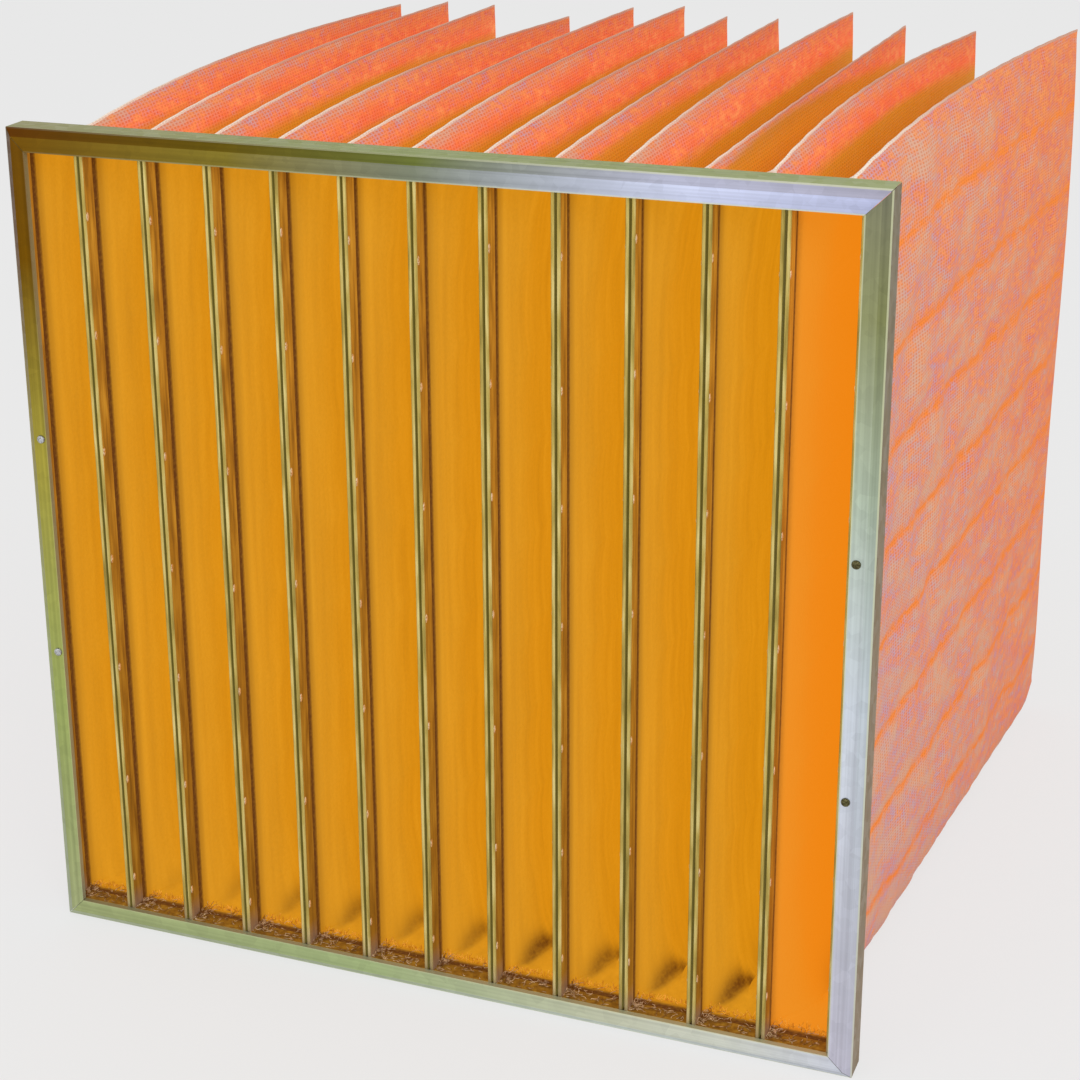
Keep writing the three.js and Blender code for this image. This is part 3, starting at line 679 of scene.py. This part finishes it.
def pocketSkin(index, centre, lean, tip, shape, inner):
    # one skin of a bag as rings of points, with the marks that its materials read
    y = depthsInside(shape) if inner else depthsOutside(shape)
    x, z, t, blend = bagSection(y, tip, shape, inner, shape["topCrown"][index - 1])
    depth = y[:, None] + 0 * x
    across, up = (np.diff(part, axis=1, prepend=part[:, :1]) for part in (x, z))
    arc = np.cumsum(np.hypot(across, up), axis=1)
    arc = arc - arc[:, [arc.shape[1] // 2]]
    top, low = z.max(axis=1, keepdims=True), z.min(axis=1, keepdims=True)
    fromEdge = np.minimum(top - z, z - low)
    rear = smoothStep(depth, shape["bagDepth"] - 60, shape["bagDepth"])
    sway = lean * t ** 1.1 + 2.0 * t * np.sin(2 * math.pi * z / 430 + index * 1.7) * (1 - 0.5 * rear)
    sides = []
    for side, seed in ((1, 100 + index), (-1, 200 + index)):
        loose = (side > 0 and index == 12) or (side < 0 and index == 1)
        tall = shape["looseCrease"] if loose else shape["crease"]
        grown = tall * smoothStep(depth, 40, 260 if not loose else 120) * (1 - rear)
        wave = sineField(depth, z, seed, 9, 55, 190) * 0.6 + sineField(depth, z, seed + 50, 7, 22, 60) * 0.2
        gathers = shape["pucker"] * blend * np.exp(-fromEdge / 16) * np.sin(
            2 * math.pi * depth / 15 + 1.5 * np.sin(depth / 31 + seed))
        held = np.minimum(1, fromEdge / 12) * blend
        outward = x + (grown * wave * held + gathers * np.minimum(1, fromEdge / 4)) * (1 - 0.7 * inner)
        ripple = 0.3 * blend * np.exp(-fromEdge / 5) * np.sin(2 * math.pi * depth / 34 + index)
        if not inner:
            # the rear edge is a fold, rounded as a circle is: the root of one minus the squared share
            share = np.clip((depth - shape["bagDepth"] + shape["foldRound"]) / shape["foldRound"], 0, 1)
            outward = outward * np.sqrt(np.clip(1 - share ** 2, 0.0004, 1))
        # painted shade and light: deep in the gap between two pockets the side is tinted ochre, for the dim light
        # that has come through the media there
        gap = shape["pitch"] - x.max(axis=1, keepdims=True)
        crowns = shape["topCrown"]
        over = crowns[index - 1] - crowns[(index - 1 + side) % len(crowns)]
        sunk = (top - z - over * np.sin(math.pi * t ** shape["topCrownFront"])) / gap
        covered = smoothStep(sunk, 0.5, 0.68) * smoothStep((z - low) / gap, 0.5, 1.2)
        # painted shade: the lower corner of the mouth closes to the seam in a fold, and a dark band painted along it
        # runs inwards
        inFold = (depth - 30) / 38
        fromFold = (18 - outward - 17 * inFold) / 3.4
        foldShade = shape["cornerFoldShade"][index - 1] * (side < 0) * np.exp(-fromFold ** 2)
        foldShade = foldShade * smoothStep(depth, 27, 56) * (1 - smoothStep(depth, 64, 84))
        foldShade = foldShade * np.exp(-((z - low) / 18) ** 2)
        neighbour = 0.0 if loose else 1.0
        point = np.arange(x.shape[1])[None, :]
        sewn = (point < shape["sewnPoints"]) | (point >= x.shape[1] - shape["sewnPoints"])
        marks = {
            "row": np.exp(-((fromRow(z, t, top, low, shape)) / 4.0) ** 2) * blend,
            "seam": sewn * smoothStep(blend, 0.5, 1),
            # painted shade: sides that face a neighbour darken below their top
            "reach": t, "between": neighbour * smoothStep((top - z) / gap, 0.02, 0.5),
            "valleyShade": covered * neighbour * 0.9,
            "shade": np.maximum.reduce([
                smoothStep(depth, shape["legRear"] + 8.5, shape["legRear"] + 5.5),
                0.25 * smoothStep(depth, shape["bagFront"] + 8, shape["bagFront"]),
                0.3 * np.exp(-fromEdge / 9) * smoothStep(depth, 60, 120), foldShade]),
            # painted light: the last pocket glows brighter
            "bright": np.full(x.shape, 1.0 if index == 12 else 0.0),
        }
        place = np.stack([centre + sway + ripple + side * outward, depth - shape["frontFace"], z], axis=-1)
        cloth = np.stack([depth, arc * side], axis=-1)
        sides.append((place, cloth, marks))
    (rightPlace, rightCloth, rightMarks), (leftPlace, leftCloth, leftMarks) = sides
    place = np.concatenate([rightPlace, leftPlace[:, ::-1]], axis=1)
    cloth = np.concatenate([rightCloth, leftCloth[:, ::-1]], axis=1)
    marks = {name: np.concatenate([rightMarks[name], leftMarks[name][:, ::-1]], axis=1) for name in rightMarks}
    return place, cloth, marks


def fromRow(z, t, top, low, shape):
    # distance in mm to the nearest stitched row, which droops towards the rear
    middle, half = (top + low) / 2, (top - low) / 2
    rows = rowShares(shape)
    share = np.clip((z - middle) / half, -1, 1)
    level = rows[None, None, :] * half[:, :, None] + middle[:, :, None]
    level = level - (shape["rowDroop"] * t * (1 - share ** 6))[:, :, None]
    return np.abs(z[:, :, None] - level).min(axis=-1)


def makePocket(number, shape):
    index = int(number)
    centre, lean, tip = readPocket(number)
    skins = [pocketSkin(index, centre, lean, tip, shape, inner) for inner in (False, True)]
    count = skins[0][0].shape[1]
    rings = [skin[0].shape[0] for skin in skins]
    outside = pocketFaces(rings[0], count)
    inside = pocketFaces(rings[1], count)[:, ::-1] + rings[0] * count
    i = np.arange(count)
    j = (i + 1) % count
    lip = np.stack([j, i, rings[0] * count + i, rings[0] * count + j], axis=-1)
    faces = np.concatenate([outside, lip, inside])
    faceMaterial = np.concatenate([np.zeros(len(outside) + len(lip)), np.ones(len(inside))])
    points = np.concatenate([skin[0].reshape(-1, 3) for skin in skins]) * mm
    cloth = np.concatenate([skin[1].reshape(-1, 2) for skin in skins]) * mm
    marks = {name: np.concatenate([skin[2][name].ravel() for skin in skins]) for name in skins[0][2]}
    piece = makePiece("pocket_" + number, points, faces, [scrim, amberMedia], faceMaterial, marks, cloth)
    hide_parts("filter_bag_" + number)
    return piece


for number in pocketNumbers:
    makePocket(number, pocketShape)
print("bag air filter: pockets are sewn")


clinchLook = {
    "spacing": 82.0, "lowest": 48.0, "count": 7,  # mm up each side of a mouth frame
    "tall": 6.5, "deep": 3.4, "proud": 0.6,  # mm
    "depth": 6.6,  # mm behind the header's front face
    "legInside": 20.6,  # mm from the middle of a pocket to its frame's inner face
}


def clinchFinish():
    # pressed steel dimple, pale tan in noise patches as a painted highlight
    material, tree = emptyMaterial("pressed_clinch")
    place = addNode(tree, "ShaderNodeTexCoord")
    highlightNoise = addNode(tree, "ShaderNodeTexNoise", {
        "Vector": place.outputs["Object"], "Scale": 700.0, "Detail": 2.0})
    colour = addNode(tree, "ShaderNodeValToRGB", {"Fac": highlightNoise.outputs["Fac"]},
                     stops=[(0.35, "#D8A868"), (0.55, "#FFEBC8")])
    surface = addNode(tree, "ShaderNodeBsdfPrincipled", {
        "Base Color": colour.outputs[0], "Metallic": 0.55, "Roughness": 0.4})
    addNode(tree, "ShaderNodeOutputMaterial", {"Surface": surface.outputs[0]})
    return material


def makeClinches(look, shape):
    # each clinch is a flat dome: a disc grid whose height is one minus the squared radius
    rng = np.random.default_rng(31)
    rings, steps = 4, 12
    radius = np.linspace(0, 1, rings + 1)[1:]
    angle = np.arange(steps) * 2 * math.pi / steps
    flatY = np.concatenate([[0], (radius[:, None] * np.cos(angle)).ravel()]) * look["deep"] / 2
    flatZ = np.concatenate([[0], (radius[:, None] * np.sin(angle)).ravel()]) * look["tall"] / 2
    rise = np.concatenate([[1], np.repeat(1 - radius ** 2, steps)]) * look["proud"]
    i, j = np.arange(steps), (np.arange(steps) + 1) % steps
    fan = np.stack([0 * i, 1 + i, 1 + j], axis=-1)
    bands = [np.stack([1 + r * steps + i, 1 + (r + 1) * steps + i, 1 + (r + 1) * steps + j], axis=-1)
             for r in range(rings - 1)]
    bands += [np.stack([1 + r * steps + i, 1 + (r + 1) * steps + j, 1 + r * steps + j], axis=-1)
              for r in range(rings - 1)]
    back = 1 + rings * steps
    rim = np.stack([0 * i + back, 1 + (rings - 1) * steps + j, 1 + (rings - 1) * steps + i], axis=-1)
    dome = np.concatenate([fan, *bands, rim])
    flatY, flatZ, rise = (np.append(part, last) for part, last in ((flatY, 0), (flatZ, 0), (rise, 0)))
    points, faces = [], []
    for number in pocketNumbers:
        low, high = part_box("pocket_frame_" + number)
        centre = (low[0] + high[0]) / 2 / mm
        for side in (-1, 1):
            shift = rng.uniform(-14, 14)
            for k in range(look["count"]):
                level = look["lowest"] + look["spacing"] * k + shift + rng.uniform(-4, 4)
                wall = centre + side * look["legInside"]
                place = np.stack([wall - side * (rise + 0.02), look["depth"] + flatY - shape["frontFace"],
                                  level + flatZ], axis=-1)
                faces.append((dome if side < 0 else dome[:, ::-1]) + len(points) * len(rise))
                points.append(place)
    piece = makePiece("frame_clinches", np.concatenate(points) * mm, np.concatenate(faces), [clinchFinish()])


tuftLook = {
    "strands": 70,  # loose fibres at each pocket's foot
    "fringe": 60,  # short amber fibres along the rear edge of its sill
    "radius": 0.22, "length": 11.0,  # mm
    "steps": 6,  # bends of a loose strand
    "knotShare": 0.6,  # how many of them lie in a knot at the left
    "sill": 15.1,  # mm, top of the mouth frame's bottom leg
}


def tuftFinish(name, dark, pale, glow):
    # loose glass fibre: dull resin dust on some strands, clean and pale on others, with a faint painted glow
    material, tree = emptyMaterial(name)
    place = addNode(tree, "ShaderNodeTexCoord")
    dust = addNode(tree, "ShaderNodeTexNoise", {
        "Vector": place.outputs["Object"], "Scale": 260.0, "Detail": 1.0})
    colour = addNode(tree, "ShaderNodeValToRGB", {
        "Fac": dust.outputs["Fac"]}, stops=[(0.4, dark), (0.6, pale)])
    surface = addNode(tree, "ShaderNodeBsdfPrincipled", {
        "Base Color": colour.outputs[0], "Roughness": 0.6, "Emission Color": colour.outputs[0],
        "Emission Strength": glow})
    addNode(tree, "ShaderNodeOutputMaterial", {"Surface": surface.outputs[0]})
    return material


def strandMesh(name, paths, radius, material):
    # three-sided tubes: each ring lies square to its strand's run, and both ends are closed
    count, steps, _ = paths.shape
    run = np.gradient(paths, axis=1)
    run /= np.linalg.norm(run, axis=2, keepdims=True)
    first = np.cross(run, np.array([0.31, 0.22, 0.92]))
    first /= np.linalg.norm(first, axis=2, keepdims=True)
    second = np.cross(run, first)
    angle = np.arange(3) * 2 * math.pi / 3
    rings = paths[:, :, None, :] + radius * (
        np.cos(angle)[None, None, :, None] * first[:, :, None, :]
        + np.sin(angle)[None, None, :, None] * second[:, :, None, :])
    i, j = np.arange(3), (np.arange(3) + 1) % 3
    start = (np.arange(steps - 1) * 3)[:, None]
    one = np.stack([start + i, start + j, start + j + 3], axis=-1).reshape(-1, 3)
    two = np.stack([start + i, start + j + 3, start + i + 3], axis=-1).reshape(-1, 3)
    ends = np.array([[0, 2, 1], [steps * 3 - 3, steps * 3 - 2, steps * 3 - 1]])
    tube = np.concatenate([one, two, ends])
    faces = (tube[None] + (np.arange(count) * steps * 3)[:, None, None]).reshape(-1, 3)
    piece = makePiece(name, rings.reshape(-1, 3) * mm, faces, [material])


def curlyPaths(rng, starts, length, steps, rise):
    # each strand turns a little at every step, and its height stays above the sill
    count = len(starts)
    heading = rng.uniform(0, 2 * math.pi, (count, 1)) + np.cumsum(rng.normal(0, 0.55, (count, steps)), axis=1)
    pace = (rng.uniform(0.4, 1.0, (count, 1)) * length / steps)
    x = starts[:, [0]] + np.cumsum(np.cos(heading) * pace, axis=1)
    y = starts[:, [1]] + np.cumsum(np.sin(heading) * pace, axis=1)
    lift = np.abs(np.cumsum(rng.normal(0, 0.35, (count, steps)), axis=1)) * rise
    return np.stack([x, y, starts[:, [2]] + lift], axis=-1)


def makeTufts(look, shape):
    rng = np.random.default_rng(77)
    loose, fringe = [], []
    for number in pocketNumbers:
        low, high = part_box("pocket_frame_" + number)
        centre = (low[0] + high[0]) / 2 / mm
        n = look["strands"]
        knot = rng.uniform(0, 1, n) < look["knotShare"]
        x = np.where(knot, rng.normal(-17.5, 1.6, n), rng.uniform(-17, 17, n))
        y = np.where(knot, rng.uniform(8, 22, n), rng.uniform(7, 23, n))
        starts = np.stack([
            centre + np.clip(x, -18.6, 18), y - shape["frontFace"], 0 * x + look["sill"] + 0.3], axis=-1)
        paths = curlyPaths(rng, starts, look["length"], look["steps"], np.where(knot, 1.6, 0.5)[:, None])
        paths[:, :, 0] = np.clip(paths[:, :, 0], centre - 19.8, centre + 19.8)
        paths[:, :, 1] = np.clip(paths[:, :, 1], 5.6 - shape["frontFace"], 40)
        loose.append(paths + rng.normal(0, 0.05, paths.shape))
        m = look["fringe"]
        x = np.linspace(-18.5, 18.5, m) + rng.normal(0, 0.4, m)
        starts = np.stack([
            centre + x, rng.uniform(23.5, 27.5, m) - shape["frontFace"], 0 * x + look["sill"] + 0.2], axis=-1)
        up = np.linspace(0, 1, 5)[None, :, None]
        tips = starts + np.stack([
            rng.normal(0, 1.6, m), rng.uniform(-3.5, 2.5, m), rng.uniform(1.2, 5.0, m)], axis=-1)
        fringe.append(starts[:, None] + (tips - starts)[:, None] * up + rng.normal(0, 0.25, (m, 5, 3)))
    strandMesh("loose_fibres", np.concatenate(loose), look["radius"],
               tuftFinish("dusty_glass_fibre", "#7A4C1E", "#DFC098", 0.1))
    strandMesh("sill_fringe", np.concatenate(fringe), look["radius"],
               tuftFinish("amber_fringe", "#C07A16", "#F2B040", 0.35))


makeClinches(clinchLook, pocketShape)
makeTufts(tuftLook, pocketShape)
print("bag air filter: clinches and loose fibre are in")
